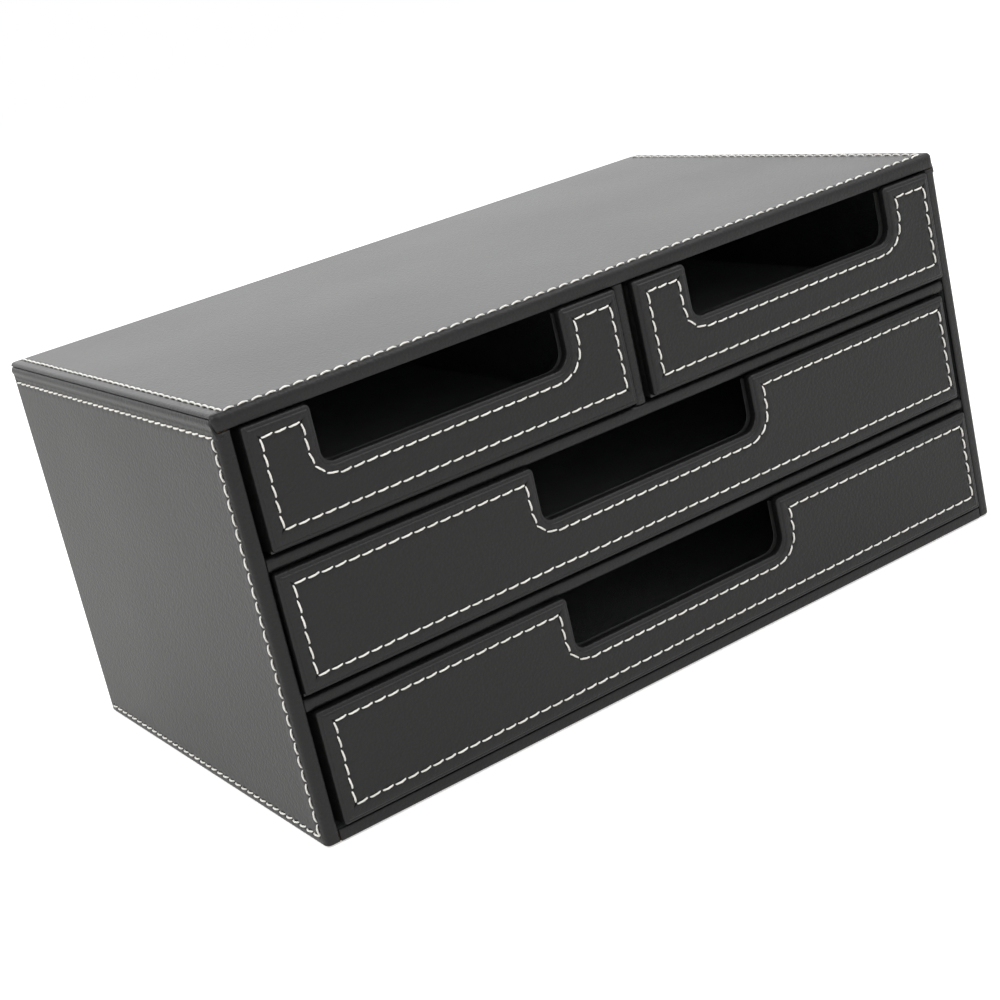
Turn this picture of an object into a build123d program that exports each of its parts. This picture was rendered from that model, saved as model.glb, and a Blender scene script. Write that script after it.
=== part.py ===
import os

from build123d import *

# A desk-top chest of four small drawers: fibreboard wrapped in leather, lined with dark pile.
# Two half-width drawers lie side by side over two full-width ones. All sizes are in millimetres.
# The origin is the middle of the felt under the chest, with +Z up and the drawer fronts facing -Y.

# Casing
casing_width = 255.0
casing_depth = 153.0
casing_height = 122.0
casing_board = 3.0
side_leather = 0.8
top_leather = 1.2
casing_lining = 0.4
base_felt = 0.4
base_felt_margin = 1.5
upright_arris_radius = 1.8
top_arris_radius = 1.1
opening_edge_radius = 0.6
top_turn_down = 1.1
back_wrap = 5.0
seam_gap = 0.2

# Bays, shelves and divider. The middle bay takes the height that is left.
# The divider stands a little to the right of the middle.
top_bay_height = 35.95
bottom_bay_height = 34.2
divider_shift = 0.7
shelf_board = 2.6
shelf_leather = 0.6
shelf_front_leather = 0.8
shelf_edge_radius = 1.2
shelf_setback = 0.3

# Drawer fronts: a board in a wrap of leather, with a stitched sheet of leather on its face
front_board = 2.0
wrap_leather = 0.6
wrap_edge_radius = 0.5
face_leather = 0.8
face_inset = 1.2
face_edge_radius = 0.5
front_side_gap = {"top": 1.3, "middle": 1.65, "bottom": 1.5}
front_top_gap = {"top": 0.7, "middle": 0.4, "bottom": 0.4}
front_bottom_gap = {"top": 1.25, "middle": 1.25, "bottom": 0.7}
front_stand_out = 1.6
notch_width = 79.6
notch_depth = 16.5
notch_corner_radius = 5.0
notch_lip_radius = 1.5
face_lip_radius = 0.8

# Drawer trays
tray_board = 1.6
tray_floor = 2.0
tray_lining = 0.4
tray_side_step = 0.5
tray_top_step = 1.0
tray_notch_step = 0.5
tray_edge_ease = 0.4
slide_gap = 0.35
tray_back_gap = 0.8

# How far each drawer rests off the middle of its bay, as a share of the play beside it
least_side_gap = 0.4
rest_share = {"top_left": 1.0, "top_right": 0.78, "middle": -0.68, "bottom": 0.45}

# Worked out from the sizes above: faces of the casing
half_width = casing_width / 2
half_depth = casing_depth / 2
core_half_width = half_width - side_leather
core_front = -half_depth + side_leather
core_back = half_depth - side_leather
core_top = casing_height - top_leather
ceiling = core_top - casing_board - casing_lining
floor_top = base_felt + casing_board + casing_lining
bay_half_width = core_half_width - casing_board - casing_lining
bay_back = core_back - casing_board - casing_lining
shelf_thickness = shelf_board + 2 * shelf_leather
divider_left = divider_shift - shelf_thickness / 2
divider_right = divider_shift + shelf_thickness / 2
lower_shelf_low = floor_top + bottom_bay_height
lower_shelf_high = lower_shelf_low + shelf_thickness
upper_shelf_high = ceiling - top_bay_height
upper_shelf_low = upper_shelf_high - shelf_thickness
middle_bay_height = upper_shelf_low - lower_shelf_high
shelf_front = -half_depth + shelf_setback

# Worked out from the sizes above: places along the drawers, shared by all four
front_face = -half_depth - front_stand_out
wrap_face = front_face + face_leather
board_face = wrap_face + wrap_leather
tray_front = board_face + front_board
tray_back = bay_back - tray_back_gap


def slab(x_low, x_high, y_low, y_high, z_low, z_high):
    """A block between two corners."""
    block = Box(x_high - x_low, y_high - y_low, z_high - z_low)
    return Pos((x_low + x_high) / 2, (y_low + y_high) / 2, (z_low + z_high) / 2) * block


def save(name, shape):
    """Write one piece under its own name."""
    export_step(shape, f"parts/{name}.step")


def edges_along(shape, axis, x=None, y=None, z=None):
    """The edges that run along an axis through the given coordinates."""
    wanted = shape.edges().filter_by(axis)
    for coordinate, place in (("X", x), ("Y", y), ("Z", z)):
        if place is not None:
            wanted = [e for e in wanted if abs(getattr(e.center(), coordinate) - place) < 0.01]
    return wanted


def leather_shell():
    """All the leather round the casing in one piece: a block with round arrises, less its boards."""
    block = slab(-half_width, half_width, -half_depth, half_depth, base_felt, casing_height)
    block = fillet(block.edges().filter_by(Axis.Z), upright_arris_radius)
    block = fillet(block.edges().group_by(Axis.Z)[-1], top_arris_radius)
    core = slab(-core_half_width, core_half_width, core_front, core_back, base_felt, core_top)
    return block - core


def casing_boards():
    """The five fibreboard walls. The top lies over the sides, and the base and back fit between."""
    side_inner = core_half_width - casing_board
    board_low = core_top - casing_board
    back_front = core_back - casing_board
    bottom_high = base_felt + casing_board
    save("top_board", slab(-core_half_width, core_half_width, core_front, core_back, board_low, core_top))
    save("left_side_board", slab(-core_half_width, -side_inner, core_front, core_back, base_felt, board_low))
    save("right_side_board", slab(side_inner, core_half_width, core_front, core_back, base_felt, board_low))
    save("base_board", slab(-side_inner, side_inner, core_front, core_back, base_felt, bottom_high))
    save("back_board", slab(-side_inner, side_inner, back_front, core_back, bottom_high, board_low))


def casing_covers():
    """The leather sheets of the casing, cut from one shell so that they meet at narrow seams."""
    shell = leather_shell()
    far = casing_width + casing_depth
    turn_low = casing_height - top_turn_down
    front_in = core_front
    cap = slab(-far, far, -far, far, turn_low, far)
    front_strip = slab(-far, far, -far, front_in, ceiling, far)
    top_cover = shell & (cap + front_strip)
    below_cap = slab(-far, far, -far, far, -far, turn_low - seam_gap)
    above_front = slab(-far, far, -far, front_in, ceiling - seam_gap, far)
    band_inner = bay_half_width
    wrap_line = half_width - back_wrap
    side_zone = slab(band_inner, far, -far, front_in, -far, far)
    side_zone += slab(core_half_width, far, -far, far, -far, far)
    side_zone += slab(wrap_line, far, core_back, far, -far, far)
    right_cover = (shell & side_zone & below_cap) - above_front
    rim = edges_along(right_cover, Axis.Z, x=band_inner, y=-half_depth)
    right_cover = fillet(rim, min(opening_edge_radius, side_leather * 0.75))
    back_zone = slab(-wrap_line + seam_gap, wrap_line - seam_gap, core_back, far, -far, far)
    back_cover = shell & back_zone & below_cap
    edge_half = band_inner - seam_gap
    edge_cover = slab(-edge_half, edge_half, -half_depth, front_in, base_felt, floor_top)
    rim = edges_along(edge_cover, Axis.X, y=-half_depth, z=floor_top)
    edge_cover = fillet(rim, min(opening_edge_radius, side_leather * 0.75))
    save("top_cover", top_cover)
    save("right_side_cover", right_cover)
    save("left_side_cover", mirror(right_cover, about=Plane.YZ))
    save("back_cover", back_cover)
    save("base_edge_cover", edge_cover)


def casing_linings():
    """Dark pile paper on the inner faces of the casing, and the felt that it stands on."""
    side_inner = core_half_width - casing_board
    wall_high = core_top - casing_board
    wall_low = base_felt + casing_board
    back_face = core_back - casing_board
    save("floor_lining", slab(-side_inner, side_inner, core_front, back_face, wall_low, floor_top))
    save("ceiling_lining", slab(-side_inner, side_inner, core_front, back_face, ceiling, wall_high))
    save("left_lining", slab(-side_inner, -bay_half_width, core_front, back_face, floor_top, ceiling))
    save("right_lining", slab(bay_half_width, side_inner, core_front, back_face, floor_top, ceiling))
    save("back_lining", slab(-bay_half_width, bay_half_width, bay_back, back_face, floor_top, ceiling))
    felt_half_width = half_width - base_felt_margin
    felt_half_depth = half_depth - base_felt_margin
    save("base_felt", slab(-felt_half_width, felt_half_width, -felt_half_depth, felt_half_depth, 0, base_felt))


def shelf(name, low):
    """A shelf board and the leather folded round its front edge and over both faces."""
    high = low + shelf_thickness
    board_front = shelf_front + shelf_front_leather
    board = slab(-bay_half_width, bay_half_width, board_front, bay_back, low + shelf_leather, high - shelf_leather)
    cover = slab(-bay_half_width, bay_half_width, shelf_front, bay_back, low, high)
    front_rims = cover.edges().filter_by(Axis.X).group_by(Axis.Y)[0]
    cover = fillet(front_rims, min(shelf_edge_radius, shelf_thickness * 0.45)) - board
    save(f"{name}_board", board)
    save(f"{name}_cover", cover)


def divider():
    """The upright board between the two top drawers, with leather folded round its front edge."""
    board_left = divider_left + shelf_leather
    board_right = divider_right - shelf_leather
    board_front = shelf_front + shelf_front_leather
    board = slab(board_left, board_right, board_front, bay_back, upper_shelf_high, ceiling)
    cover = slab(divider_left, divider_right, shelf_front, bay_back, upper_shelf_high, ceiling)
    front_rims = cover.edges().filter_by(Axis.Z).group_by(Axis.Y)[0]
    cover = fillet(front_rims, min(shelf_edge_radius, shelf_thickness * 0.45)) - board
    save("divider_board", board)
    save("divider_cover", cover)


def notched_plate(half, low, high, notch_half, notch_low, corner_radius, lip_radius, y_low, y_high):
    """An upright plate with a wide notch in its top edge, round at the notch's bottom and lips."""
    sheet = Pos(0, (low + high) / 2) * Rectangle(2 * half, high - low)
    notch_reach = high - notch_low
    sheet -= Pos(0, high) * RectangleRounded(2 * notch_half, 2 * notch_reach, corner_radius)
    lips = [v for v in sheet.vertices() if abs(v.Y - high) < 0.01 and abs(v.X) < half - 0.01]
    sheet = fillet(lips, lip_radius)
    return Pos(0, y_high, 0) * Rot(90, 0, 0) * extrude(sheet, y_high - y_low)


def round_front_rim(plate, radius):
    """The plate with the edges round its front face rounded."""
    return fillet(plate.faces().sort_by(Axis.Y)[0].edges(), radius)


def drawer_front(name, place, half, low, high):
    """The notched front board, and its leather: the wrap over its edges and the sheet on its face."""
    notch_half = notch_width / 2
    notch_low = high - notch_depth
    skin = wrap_leather
    board = notched_plate(half - skin, low + skin, high - skin, notch_half + skin, notch_low - skin,
                          notch_corner_radius + skin, notch_lip_radius - skin, board_face, tray_front)
    wrap = notched_plate(half, low, high, notch_half, notch_low,
                         notch_corner_radius, notch_lip_radius, wrap_face, tray_front)
    wrap = round_front_rim(wrap, min(wrap_edge_radius, wrap_leather * 0.9))
    inset = face_inset
    face = notched_plate(half - inset, low + inset, high - inset, notch_half + inset, notch_low - inset,
                         notch_corner_radius + inset, face_lip_radius, front_face, wrap_face)
    face = round_front_rim(face, min(face_edge_radius, face_leather * 0.9))
    save(f"{name}_front_panel", place * board)
    save(f"{name}_front_cover", place * (wrap - board + face))


def drawer_tray(name, place, half, low, high, notch_low):
    """The open tray behind the front: five boards, and a pile lining over all of them."""
    notch_half = notch_width / 2 + tray_notch_step
    corner_radius = notch_corner_radius + tray_notch_step
    wall_front = tray_front + tray_board
    wall_half = half - tray_board
    wall_back = tray_back - tray_board
    floor_high = low + tray_floor
    front = notched_plate(half, low, high, notch_half, notch_low, corner_radius, tray_edge_ease,
                          tray_front, wall_front)
    left = slab(-half, -wall_half, wall_front, tray_back, low, high)
    left = fillet(left.edges().filter_by(Axis.Y).group_by(Axis.Z)[-1], tray_edge_ease)
    right = mirror(left, about=Plane.YZ)
    back = slab(-wall_half, wall_half, wall_back, tray_back, low, high)
    back = fillet(back.edges().filter_by(Axis.X).group_by(Axis.Z)[-1], tray_edge_ease)
    bottom = slab(-wall_half, wall_half, wall_front, wall_back, low, floor_high)
    lining_high = high - tray_edge_ease
    lining = slab(-wall_half, wall_half, wall_front, wall_back, floor_high, lining_high)
    hollow_half = wall_half - tray_lining
    hollow_low = floor_high + tray_lining
    lining -= slab(-hollow_half, hollow_half, wall_front + tray_lining, wall_back - tray_lining,
                   hollow_low, high)
    lining -= notched_plate_gap(notch_half, notch_low, high, corner_radius, wall_front)
    save(f"{name}_front_wall", place * front)
    save(f"{name}_left_wall", place * left)
    save(f"{name}_right_wall", place * right)
    save(f"{name}_back_wall", place * back)
    save(f"{name}_floor_board", place * bottom)
    save(f"{name}_lining", place * lining)


def notched_plate_gap(notch_half, notch_low, high, corner_radius, y_low):
    """The block that the finger notch takes out of the lining of the front wall."""
    sheet = Pos(0, high) * RectangleRounded(2 * notch_half, 2 * (high - notch_low), corner_radius)
    depth = tray_lining
    return Pos(0, y_low + depth, 0) * Rot(90, 0, 0) * extrude(sheet, depth)


def drawer(name, row, bay_left, bay_right, bay_low, bay_height):
    """One drawer in its bay, resting a little to one side as loose drawers do."""
    side_gap = front_side_gap[row]
    play = max(side_gap - least_side_gap, 0.0)
    place = Pos((bay_left + bay_right) / 2 + rest_share[name] * play, 0, 0)
    name = f"{name}_drawer"
    front_half = (bay_right - bay_left) / 2 - side_gap
    front_low = bay_low + front_bottom_gap[row]
    front_high = bay_low + bay_height - front_top_gap[row]
    drawer_front(name, place, front_half, front_low, front_high)
    tray_half = front_half - tray_side_step
    tray_low = bay_low + slide_gap
    tray_high = front_high - tray_top_step
    tray_notch_low = front_high - notch_depth - tray_notch_step
    drawer_tray(name, place, tray_half, tray_low, tray_high, tray_notch_low)


def build():
    os.makedirs("parts", exist_ok=True)
    casing_boards()
    casing_covers()
    casing_linings()
    shelf("upper_shelf", upper_shelf_low)
    shelf("lower_shelf", lower_shelf_low)
    divider()
    left, right = -bay_half_width, bay_half_width
    drawer("top_left", "top", left, divider_left, upper_shelf_high, top_bay_height)
    drawer("top_right", "top", divider_right, right, upper_shelf_high, top_bay_height)
    drawer("middle", "middle", left, right, lower_shelf_high, middle_bay_height)
    drawer("bottom", "bottom", left, right, floor_top, bottom_bay_height)


build()
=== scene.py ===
import math
import random

import bmesh
import bpy
import numpy as np
from mathutils import Matrix, Vector


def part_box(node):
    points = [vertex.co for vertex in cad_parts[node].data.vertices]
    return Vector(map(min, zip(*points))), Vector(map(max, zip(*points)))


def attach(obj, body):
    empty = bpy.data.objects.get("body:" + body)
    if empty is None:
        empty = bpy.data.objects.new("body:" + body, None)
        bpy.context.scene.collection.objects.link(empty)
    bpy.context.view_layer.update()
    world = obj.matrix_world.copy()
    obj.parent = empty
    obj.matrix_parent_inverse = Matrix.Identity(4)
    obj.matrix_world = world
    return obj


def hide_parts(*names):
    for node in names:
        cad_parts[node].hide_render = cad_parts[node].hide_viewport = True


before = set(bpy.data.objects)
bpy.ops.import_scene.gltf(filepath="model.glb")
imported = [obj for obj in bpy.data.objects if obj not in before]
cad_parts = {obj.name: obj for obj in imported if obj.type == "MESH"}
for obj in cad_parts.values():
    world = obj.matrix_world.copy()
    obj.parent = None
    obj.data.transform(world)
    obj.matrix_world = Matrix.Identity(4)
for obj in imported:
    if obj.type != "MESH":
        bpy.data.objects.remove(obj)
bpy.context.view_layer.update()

# A desk-top chest of four drawers in stitched PU leather. Sizes here are in millimetres, and a
# point becomes metres when it is written into a mesh.
MM = 0.001

# Casing, as in the solids
HALF_WIDTH = 127.5
HALF_DEPTH = 76.5
TOP = 122.0
CEILING = 117.4
BASE = 0.4
FLOOR = 3.8
SIDE_LEATHER = 0.8
TOP_LEATHER = 1.2
UPRIGHT_ARRIS = 1.8
TOP_ARRIS = 1.1
TOP_FRONT_ARRIS = 1.9
TURN_DOWN = 1.1
BACK_WRAP = 5.0
SEAM_GAP = 0.2
ROLL_HEIGHT = 0.32
ROLL_DEPTH = 2.0
BAY_HALF_WIDTH = 123.3
BAY_BACK = 72.3
SHELF_FRONT = -76.2
SHELF_THICKNESS = 3.8
SHELF_LEATHER = 0.6
SHELF_FRONT_LEATHER = 0.8
SHELF_EDGE = 1.2

# Front edges of the shelves and the divider: how the leather is pulled in at each end, as
# (distance from the end, pull), and the slow waves that the hand leaves along it
SHELF_RING_STEP = 3.0
SHELF_END_PULL = ((0.0, 0.45), (0.12, 0.18), (0.4, 0.0))
SHELF_EASE = 0.05
SHELF_WAVE_SHARE = 0.7
SHELF_WAVE_COUNT = 5
SHELF_WAVE_LENGTHS = (18, 60)
SHELF_WAVE_SIZES = (0.015, 0.04)

# Drawer fronts: how far they stand out, their edges, and their notch. The back edge is given as
# (inset, rise), and the step from the wrap up to the face sheet as (inset, depth).
FRONT_FACE = -78.1
FRONT_THICKNESS = 3.4
FRONT_CORNER = 0.8
FRONT_BACK_EDGE = ((3.0, 0.0), (0.35, 0.0), (0.1, 0.1), (0.0, 0.35))
WRAP_DEPTH = 0.36
WRAP_EDGE = 0.8
FACE_RISE = ((0.92, 0.37), (1.04, 0.385), (1.12, 0.34), (1.2, 0.22), (1.3, 0.11), (1.45, 0.03),
             (1.62, 0.0))
FACE_FLAT = 1.7
NOTCH_HALF = 39.8
NOTCH_DEPTH = 16.5
NOTCH_CORNER_RIGHT = 5.0
NOTCH_CORNER_LEFT = 3.4
NOTCH_LIP = 1.5
DRAWERS = ("top_left", "top_right", "middle", "bottom")

# Drawer trays: the notch in their front wall, and the pile lining
TRAY_NOTCH_HALF = 40.3
TRAY_NOTCH_BELOW = 0.5
TRAY_NOTCH_CORNER = 5.5
PILE = 0.4
PILE_EDGE = 0.12
PILE_BEND = 1.0
PILE_BEND_STEPS = 5
PILE_FLAT_START = 1.5

# Stitching: pitch, and the thread
STITCH_PITCH = 4.07
STITCH_GAP = 0.9
THREAD_RADIUS = 0.275
THREAD_LIFT = 0.27
THREAD_SINK = 0.34
THREAD_SLANT = 0.15
THREAD_TWIST = 1.7
THREAD_DRIFT = 0.05
THREAD_LOBES = 9
PLY_COUNT = 3
PLY_RELIEF = 0.11
STITCH_STOPS = (0.0, 0.05, 0.12, 0.24, 0.38, 0.5, 0.62, 0.76, 0.88, 0.95, 1.0)
SAMPLES_PER_STITCH = 7
PLAIN_SIDE_SAMPLES = 14

# Where the rows run in from each edge of a drawer front, of the top, and of a side. The two
# INNER values are for the back edges, which have no row.
SEAM_LEFT = 4.25
SEAM_RIGHT = 3.05
SEAM_TOP = 3.8
SEAM_BOTTOM = {"top_left": 5.2, "top_right": 5.2, "middle": 4.4, "bottom": 4.8}
NOTCH_SEAM_LEFT = 3.6
NOTCH_SEAM_RIGHT = 4.2
NOTCH_SEAM_LOW = 3.4
TOP_SEAM_FRONT = 1.75
TOP_SEAM_END = 3.9
TOP_INNER_BACK = 2.6
SIDE_SEAM_TOP = 4.9
SIDE_SEAM_LOW = 2.5
SIDE_SEAM_FRONT = 1.2
SIDE_INNER_BACK = 1.0

# The channel that the thread pulls into the leather
CHANNEL_DEPTH = 0.08
CHANNEL_WIDTH = 0.7
HOLE_DEPTH = 0.24
HOLE_WIDTH = 0.42
SWELL_HEIGHT = 0.05
SWELL_AT = 1.8
SWELL_WIDTH = 0.8
PUCKER_HEIGHT = 0.05
PUCKER_WIDTH = 1.4

# Lines of a sheet on both sides of its seam, and the least room between neighbouring lines
ACROSS = (-2.4, -1.9, -1.4, -1.0, -0.65, -0.32, 0.0, 0.32, 0.65, 1.0, 1.4, 1.9, 2.6, 3.6)
LEAST_STEP = 0.05

# The top sheet's lower edge, as (inset, way back up), and how near to it the round top edge goes
TOP_LIP_EDGE = ((0.35, 0.0), (0.1, 0.1), (0.0, 0.3))
TOP_LIP_ROOM = 0.301
TOP_BACK_STEP = 0.3

# A side's sheet: its inner face, as shares of the way in. Its edge, as (inset, inset of the top
# edge, height). Then the roll of the top edge, and where the flat begins.
SIDE_INNER_SHARES = (1.0, 0.84, 0.68, 0.52, 0.36, 0.2, 0.0)
SIDE_INNER_MARGIN = 2.5
SIDE_EDGE = ((0.0, 0.0, -0.5), (0.08, 0.06, -0.3), (0.25, 0.2, -0.12), (0.5, 0.4, 0.0))
SIDE_EDGE_IN = 0.5
SIDE_LOW_STEP = 0.02
SIDE_ROLL_START = 0.4
SIDE_ROLL_STEP = 0.35
SIDE_ROLL_RINGS = 8
SIDE_LOW_FLAT = 0.68
SIDE_TOP_FLAT = 3.25
SIDE_FLAT_STEP = 0.03
SIDE_BACK_STEP = 0.2
BAND_DROP_FROM = 100.0

# The felt's cut edge
FELT_TRIM = 0.3
FELT_CORNER = 1.5
FELT_INNER = 6.0
FELT_WAVE_COUNT = 6
FELT_WAVE_LENGTHS = (9, 50)
FELT_WAVE_SIZES = (0.02, 0.08)
FELT_WAVE_SLANT = 1.3
WAVE_PHASES = (0, 6.28)


# ---------------------------------------------------------------- colours and nodes

def srgb(code):
    """A colour written as an sRGB hex value, turned to linear."""
    parts = [int(code[i:i + 2], 16) / 255 for i in (1, 3, 5)]
    linear = [c / 12.92 if c <= 0.04045 else ((c + 0.055) / 1.055) ** 2.4 for c in parts]
    return (*linear, 1.0)


def node(tree, kind, inputs=None, **settings):
    """Add a node with its settings. An input is a value, or a socket to link from."""
    made = tree.nodes.new(kind)
    for key, value in settings.items():
        setattr(made, key, value)
    for key, value in (inputs or {}).items():
        if isinstance(value, bpy.types.NodeSocket):
            tree.links.new(value, made.inputs[key])
        else:
            made.inputs[key].default_value = value
    return made


def ramp(tree, factor, stops):
    """A colour ramp through (place, colour) stops."""
    made = node(tree, "ShaderNodeValToRGB", {"Fac": factor})
    points = made.color_ramp.elements
    while len(points) < len(stops):
        points.new(0.5)
    for point, (place, colour) in zip(points, stops):
        point.position = place
        point.color = colour
    return made.outputs["Color"]


def grey(value):
    """A grey of one linear value, for ramps that drive a height or a roughness."""
    return (value, value, value, 1.0)


def new_material(name):
    """An empty node material with its output, and the object coordinates in metres."""
    material = bpy.data.materials.new(name)
    material.use_nodes = True
    tree = material.node_tree
    tree.nodes.clear()
    output = node(tree, "ShaderNodeOutputMaterial")
    place = node(tree, "ShaderNodeTexCoord").outputs["Object"]
    return material, tree, output, place


def pu_leather():
    """Polyurethane leather: a fabric coated black and embossed by a roller.

    The eye sees a close pebble grain with a satin shine that grows at low angles, and slow
    patches where the coat is a little duller. The real grain is about 0.5 mm; it is drawn at
    0.85 mm, so that it still shows at arm's length.
    """
    grain_mm = 0.85
    material, tree, output, place = new_material("black_pu_leather")
    pebble = node(tree, "ShaderNodeTexVoronoi", {"Vector": place, "Scale": 1000 / grain_mm},
                  feature="SMOOTH_F1")
    pebble.inputs["Smoothness"].default_value = 0.55
    pore = node(tree, "ShaderNodeTexNoise",
                {"Vector": place, "Scale": 1000 / (grain_mm * 0.45), "Detail": 3.0, "Roughness": 0.6})
    patch = node(tree, "ShaderNodeTexNoise",
                 {"Vector": place, "Scale": 1000 / 45.0, "Detail": 3.0, "Roughness": 0.5})
    cloud = node(tree, "ShaderNodeTexNoise",
                 {"Vector": place, "Scale": 1000 / 3.2, "Detail": 2.0, "Roughness": 0.5})
    dome = ramp(tree, pebble.outputs["Distance"], [(0.05, grey(1.0)), (0.75, grey(0.0))])
    grain = node(tree, "ShaderNodeMath", {0: pore.outputs["Fac"], 1: 0.55}, operation="MULTIPLY")
    height = node(tree, "ShaderNodeMath", {0: dome, 1: grain.outputs[0]}, operation="ADD")
    bump = node(tree, "ShaderNodeBump",
                {"Height": height.outputs[0], "Strength": 0.8, "Distance": 0.08 * MM})
    wave = node(tree, "ShaderNodeBump",
                {"Height": cloud.outputs["Fac"], "Strength": 0.3, "Distance": 0.08 * MM,
                 "Normal": bump.outputs["Normal"]})
    mixed = node(tree, "ShaderNodeMath", {0: patch.outputs["Fac"], 1: dome}, operation="MULTIPLY")
    colour = ramp(tree, mixed.outputs[0], [(0.1, srgb("#0e0e0e")), (0.75, srgb("#131313"))])
    rough = ramp(tree, patch.outputs["Fac"], [(0.3, grey(0.445)), (0.7, grey(0.465))])
    shader = node(tree, "ShaderNodeBsdfPrincipled",
                  {"Base Color": colour, "Roughness": rough, "Normal": wave.outputs["Normal"]})
    shader.inputs["IOR"].default_value = 1.36
    tree.links.new(shader.outputs[0], output.inputs["Surface"])
    return material


def polyester_thread():
    """Bonded polyester sewing thread, three plies twisted: off-white, softly shiny, fuzz-free.

    The plies are in the mesh. The filaments are finer than shows, so they are drawn 0.25 mm wide.
    """
    material, tree, output, place = new_material("bonded_polyester_thread")
    filament = node(tree, "ShaderNodeTexNoise",
                    {"Vector": place, "Scale": 1000 / 0.25, "Detail": 2.0, "Roughness": 0.5})
    soil = node(tree, "ShaderNodeTexNoise", {"Vector": place, "Scale": 1000 / 9.0, "Detail": 2.0})
    colour = ramp(tree, soil.outputs["Fac"], [(0.35, srgb("#e2dfd8")), (0.6, srgb("#efece6"))])
    bump = node(tree, "ShaderNodeBump",
                {"Height": filament.outputs["Fac"], "Strength": 0.4, "Distance": 0.06 * MM})
    shader = node(tree, "ShaderNodeBsdfPrincipled",
                  {"Base Color": colour, "Roughness": 0.5, "Normal": bump.outputs["Normal"]})
    shader.inputs["Sheen Weight"].default_value = 0.15
    shader.inputs["Sheen Roughness"].default_value = 0.4
    tree.links.new(shader.outputs[0], output.inputs["Surface"])
    return material


def flocked_paper():
    """Flocked lining paper: short upright nylon pile on a paper back.

    The eye sees a near-black matt face with slow brushed patches and a faint sheen at the rim.
    Its colour is partly painted light: the pile is drawn dark grey, lighter than its own black,
    to stand in for the stray light inside the drawers. The pile is 0.4 mm and is drawn at its
    real size, with patches of about 12 mm.
    """
    material, tree, output, place = new_material("flocked_paper")
    pile = node(tree, "ShaderNodeTexNoise",
                {"Vector": place, "Scale": 1000 / 0.4, "Detail": 3.0, "Roughness": 0.7})
    brushed = node(tree, "ShaderNodeTexNoise",
                   {"Vector": place, "Scale": 1000 / 12.0, "Detail": 3.0, "Roughness": 0.5})
    mixed = node(tree, "ShaderNodeMath", {0: pile.outputs["Fac"], 1: brushed.outputs["Fac"]},
                 operation="MULTIPLY")
    # Painted light: this grey is lighter than the black pile, to stand in for stray light inside the
    # drawers.
    colour = ramp(tree, mixed.outputs[0], [(0.12, srgb("#323434")), (0.45, srgb("#434645"))])
    bump = node(tree, "ShaderNodeBump",
                {"Height": pile.outputs["Fac"], "Strength": 0.9, "Distance": 0.25 * MM})
    shader = node(tree, "ShaderNodeBsdfPrincipled",
                  {"Base Color": colour, "Roughness": 0.95, "Normal": bump.outputs["Normal"]})
    shader.inputs["Sheen Weight"].default_value = 0.25
    shader.inputs["Sheen Roughness"].default_value = 0.35
    shader.inputs["Specular IOR Level"].default_value = 0.15
    tree.links.new(shader.outputs[0], output.inputs["Surface"])
    return material


def black_embossed_paper():
    """Black embossed paper round the grey board of the tray's walls.

    The eye sees a dull satin over a soft crossed emboss. Its lines are drawn about 3.8 mm apart,
    coarser than the real paper's, because finer ones don't show.
    """
    material, tree, output, place = new_material("black_embossed_paper")
    heights = []
    for direction in ("X", "Z"):
        # A wave repeats every 2 pi / 20 of its scale, so 12 mm here gives lines 3.8 mm apart.
        wave = node(tree, "ShaderNodeTexWave",
                    {"Vector": place, "Scale": 1000 / 12.0, "Distortion": 0.6,
                     "Detail": 1.0, "Detail Scale": 2.0}, bands_direction=direction)
        heights.append(wave.outputs["Fac"])
    crossed = node(tree, "ShaderNodeMath", {0: heights[0], 1: heights[1]}, operation="MAXIMUM")
    fibre = node(tree, "ShaderNodeTexNoise",
                 {"Vector": place, "Scale": 1000 / 1.5, "Detail": 4.0, "Roughness": 0.65})
    colour = ramp(tree, fibre.outputs["Fac"], [(0.3, srgb("#262525")), (0.7, srgb("#333231"))])
    rough = ramp(tree, fibre.outputs["Fac"], [(0.3, grey(0.45)), (0.7, grey(0.55))])
    bump = node(tree, "ShaderNodeBump",
                {"Height": crossed.outputs[0], "Strength": 0.5, "Distance": 0.05 * MM})
    shader = node(tree, "ShaderNodeBsdfPrincipled",
                  {"Base Color": colour, "Roughness": rough, "Normal": bump.outputs["Normal"]})
    tree.links.new(shader.outputs[0], output.inputs["Surface"])
    return material


def raw_fibreboard():
    """Medium-density fibreboard as it comes from the press: warm brown, matt and fuzzy.

    Fibres clump at about 1 mm, and the face is mottled at about 8 mm.
    """
    material, tree, output, place = new_material("medium_density_fibreboard")
    clump = node(tree, "ShaderNodeTexNoise",
                 {"Vector": place, "Scale": 1000 / 1.0, "Detail": 5.0, "Roughness": 0.7})
    mottle = node(tree, "ShaderNodeTexNoise",
                  {"Vector": place, "Scale": 1000 / 8.0, "Detail": 3.0})
    mixed = node(tree, "ShaderNodeMath", {0: clump.outputs["Fac"], 1: mottle.outputs["Fac"]},
                 operation="MULTIPLY")
    colour = ramp(tree, mixed.outputs[0], [(0.12, srgb("#7d6244")), (0.42, srgb("#b3946c"))])
    bump = node(tree, "ShaderNodeBump",
                {"Height": clump.outputs["Fac"], "Strength": 0.6, "Distance": 0.12 * MM})
    shader = node(tree, "ShaderNodeBsdfPrincipled",
                  {"Base Color": colour, "Roughness": 0.9, "Normal": bump.outputs["Normal"]})
    tree.links.new(shader.outputs[0], output.inputs["Surface"])
    return material


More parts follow.
